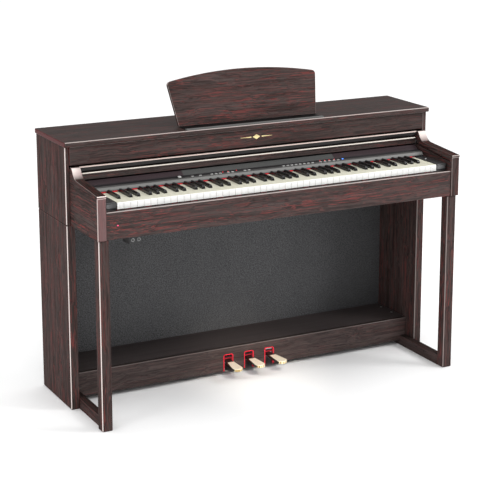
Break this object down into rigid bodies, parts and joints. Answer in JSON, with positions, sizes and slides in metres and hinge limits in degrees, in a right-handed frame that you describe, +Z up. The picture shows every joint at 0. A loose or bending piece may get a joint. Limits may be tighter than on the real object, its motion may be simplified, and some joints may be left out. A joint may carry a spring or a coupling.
{
  "type": "digital piano",
  "caption": "Console digital piano on a panel stand, with a full keyboard, a sliding key cover, a folding music rest and foot pedals.",
  "frame": {"origin": "on the floor, under the middle of the overall box", "axes": "+X to the player's right (treble end), +Y back from the player, +Z up"},
  "size_m": [1.42, 0.513, 1.1056],
  "materials": {
    "rosewood": "satin",
    "rosewood_edge": "semi-gloss",
    "dark_rail": "gloss",
    "dark_board": "satin",
    "cheek_black": "satin",
    "panel_black": "gloss",
    "red_felt": "matte",
    "plain_steel": "satin",
    "painted_steel": "satin",
    "grey_rubber": "matte",
    "speaker_black": "matte",
    "circuit_green": "satin",
    "socket_black": "satin",
    "socket_chrome": "polished",
    "knee_grey": "matte",
    "pedal_brass": "polished",
    "button_silver": "satin",
    "button_grey": "satin",
    "ivory": "satin",
    "ebony": "gloss"
  },
  "bodies": {
    "cabinet": {"ac_inlet": "socket_black", "arm_caps": "rosewood_edge", "cheek_blocks": "cheek_black", "control_panel": "panel_black", "foot_rails": "rosewood", "front_legs": "rosewood", "front_panel": "rosewood", "jack_box": "socket_black", "jack_sockets": "socket_chrome", "key_bed": "dark_board", "key_felts": "red_felt", "key_frame": "painted_steel", "keyslip": "rosewood", "knee_board": "knee_grey", "left_arm": "rosewood", "main_board": "circuit_green", "music_ledge": "grey_rubber", "pedal_board": "rosewood", "pedal_box_top": "dark_board", "pedal_frame": "painted_steel", "pedal_springs": "plain_steel", "power_supply": "plain_steel", "rear_cover": "dark_board", "rest_hinges": "plain_steel", "right_arm": "rosewood", "screws": "plain_steel", "side_panels": "rosewood", "slot_felts": "red_felt", "speaker_grilles": "speaker_black", "speakers": "speaker_black", "stand_panels": "rosewood", "top_board": "rosewood", "upper_rail": "dark_rail"},
    "sliding_cover": {"key_cover": "dark_board", "cover_rail": "rosewood", "cover_slides": "plain_steel"},
    "rest_panel": {"music_rest": "rosewood", "rest_leaves": "plain_steel"},
    "props": {"rest_props": "plain_steel"},
    "left_pedal": {"left_pedal": "pedal_brass"},
    "middle_pedal": {"middle_pedal": "pedal_brass"},
    "right_pedal": {"right_pedal": "pedal_brass"},
    "power_button": {"power_button": "button_silver"},
    "volume_slider": {"volume_slider": "button_grey"},
    "left_buttons": {"left_buttons": "button_grey"},
    "right_buttons": {"right_buttons": "button_grey"},
    "other_white_keys": {"other_white_keys": "ivory"},
    "other_black_keys": {"other_black_keys": "ebony"},
    "black_key_a_sharp": {"black_key_a_sharp": "ebony"},
    "black_key_c_sharp": {"black_key_c_sharp": "ebony"},
    "black_key_d_sharp": {"black_key_d_sharp": "ebony"},
    "black_key_f_sharp": {"black_key_f_sharp": "ebony"},
    "black_key_g_sharp": {"black_key_g_sharp": "ebony"},
    "white_key_a": {"white_key_a": "ivory"},
    "white_key_b": {"white_key_b": "ivory"},
    "white_key_c": {"white_key_c": "ivory"},
    "white_key_d": {"white_key_d": "ivory"},
    "white_key_e": {"white_key_e": "ivory"},
    "white_key_f": {"white_key_f": "ivory"},
    "white_key_g": {"white_key_g": "ivory"}
  },
  "joints": [
    {"name": "cover_slide", "type": "slide", "parent": "cabinet", "child": "sliding_cover", "axis": [0, -0.9936, -0.1132], "range_m": [0, 0.22]},
    {"name": "rest_fold", "type": "hinge", "parent": "cabinet", "child": "rest_panel", "pos_m": [0, 0.04991, 0.93134], "axis": [-1, 0, 0], "range_deg": [0, 70]},
    {"name": "prop_swing", "type": "hinge", "parent": "rest_panel", "child": "props", "pos_m": [0, 0.07309, 1.00267], "axis": [1, 0, 0], "range_deg": [0, 140]},
    {"name": "left_pedal_press", "type": "hinge", "parent": "cabinet", "child": "left_pedal", "pos_m": [0, 0.12, 0.064], "axis": [1, 0, 0], "range_deg": [0, 6], "stiffness_Nm_per_rad": 5, "springref_deg": -11.46},
    {"name": "middle_pedal_press", "type": "hinge", "parent": "cabinet", "child": "middle_pedal", "pos_m": [0, 0.12, 0.064], "axis": [1, 0, 0], "range_deg": [0, 6], "stiffness_Nm_per_rad": 5, "springref_deg": -11.46},
    {"name": "right_pedal_press", "type": "hinge", "parent": "cabinet", "child": "right_pedal", "pos_m": [0, 0.12, 0.064], "axis": [1, 0, 0], "range_deg": [0, 6], "stiffness_Nm_per_rad": 5, "springref_deg": -11.46},
    {"name": "power_press", "type": "slide", "parent": "cabinet", "child": "power_button", "axis": [0, 0, -1], "range_m": [0, 0.0015], "stiffness_N_per_m": 400, "springref_m": -0.001},
    {"name": "volume_slide", "type": "slide", "parent": "cabinet", "child": "volume_slider", "axis": [1, 0, 0], "range_m": [-0.018, 0.018]},
    {"name": "left_buttons_press", "type": "slide", "parent": "cabinet", "child": "left_buttons", "axis": [0, 0, -1], "range_m": [0, 0.001], "stiffness_N_per_m": 2700, "springref_m": -0.001},
    {"name": "right_buttons_press", "type": "slide", "parent": "cabinet", "child": "right_buttons", "axis": [0, 0, -1], "range_m": [0, 0.001], "stiffness_N_per_m": 3900, "springref_m": -0.001},
    {"name": "black_key_a_sharp_press", "type": "hinge", "parent": "cabinet", "child": "black_key_a_sharp", "pos_m": [0, 0, 0.753], "axis": [1, 0, 0], "range_deg": [0, 2.6], "stiffness_Nm_per_rad": 1, "springref_deg": -5.73},
    {"name": "black_key_c_sharp_press", "type": "hinge", "parent": "cabinet", "child": "black_key_c_sharp", "pos_m": [0, 0, 0.753], "axis": [1, 0, 0], "range_deg": [0, 2.6], "stiffness_Nm_per_rad": 1, "springref_deg": -5.73},
    {"name": "black_key_d_sharp_press", "type": "hinge", "parent": "cabinet", "child": "black_key_d_sharp", "pos_m": [0, 0, 0.753], "axis": [1, 0, 0], "range_deg": [0, 2.6], "stiffness_Nm_per_rad": 1, "springref_deg": -5.73},
    {"name": "black_key_f_sharp_press", "type": "hinge", "parent": "cabinet", "child": "black_key_f_sharp", "pos_m": [0, 0, 0.753], "axis": [1, 0, 0], "range_deg": [0, 2.6], "stiffness_Nm_per_rad": 1, "springref_deg": -5.73},
    {"name": "black_key_g_sharp_press", "type": "hinge", "parent": "cabinet", "child": "black_key_g_sharp", "pos_m": [0, 0, 0.753], "axis": [1, 0, 0], "range_deg": [0, 2.6], "stiffness_Nm_per_rad": 1, "springref_deg": -5.73},
    {"name": "white_key_a_press", "type": "hinge", "parent": "cabinet", "child": "white_key_a", "pos_m": [0, 0, 0.753], "axis": [1, 0, 0], "range_deg": [0, 2.6], "stiffness_Nm_per_rad": 1, "springref_deg": -9.17},
    {"name": "white_key_b_press", "type": "hinge", "parent": "cabinet", "child": "white_key_b", "pos_m": [0, 0, 0.753], "axis": [1, 0, 0], "range_deg": [0, 2.6], "stiffness_Nm_per_rad": 1, "springref_deg": -9.17},
    {"name": "white_key_c_press", "type": "hinge", "parent": "cabinet", "child": "white_key_c", "pos_m": [0, 0, 0.753], "axis": [1, 0, 0], "range_deg": [0, 2.6], "stiffness_Nm_per_rad": 1, "springref_deg": -9.17},
    {"name": "white_key_d_press", "type": "hinge", "parent": "cabinet", "child": "white_key_d", "pos_m": [0, 0, 0.753], "axis": [1, 0, 0], "range_deg": [0, 2.6], "stiffness_Nm_per_rad": 1, "springref_deg": -9.17},
    {"name": "white_key_e_press", "type": "hinge", "parent": "cabinet", "child": "white_key_e", "pos_m": [0, 0, 0.753], "axis": [1, 0, 0], "range_deg": [0, 2.6], "stiffness_Nm_per_rad": 1, "springref_deg": -9.17},
    {"name": "white_key_f_press", "type": "hinge", "parent": "cabinet", "child": "white_key_f", "pos_m": [0, 0, 0.753], "axis": [1, 0, 0], "range_deg": [0, 2.6], "stiffness_Nm_per_rad": 1, "springref_deg": -9.17},
    {"name": "white_key_g_press", "type": "hinge", "parent": "cabinet", "child": "white_key_g", "pos_m": [0, 0, 0.753], "axis": [1, 0, 0], "range_deg": [0, 2.6], "stiffness_Nm_per_rad": 1, "springref_deg": -9.17},
    {"name": "other_white_keys_press", "type": "hinge", "parent": "cabinet", "child": "other_white_keys", "pos_m": [0, 0, 0.753], "axis": [1, 0, 0], "range_deg": [0, 2.6], "stiffness_Nm_per_rad": 45, "springref_deg": -9.17},
    {"name": "other_black_keys_press", "type": "hinge", "parent": "cabinet", "child": "other_black_keys", "pos_m": [0, 0, 0.753], "axis": [1, 0, 0], "range_deg": [0, 2.6], "stiffness_Nm_per_rad": 31, "springref_deg": -5.73}
  ],
  "couplings": [
    {"joint": "prop_swing", "follows": "rest_fold", "ratio": 2}
  ]
}
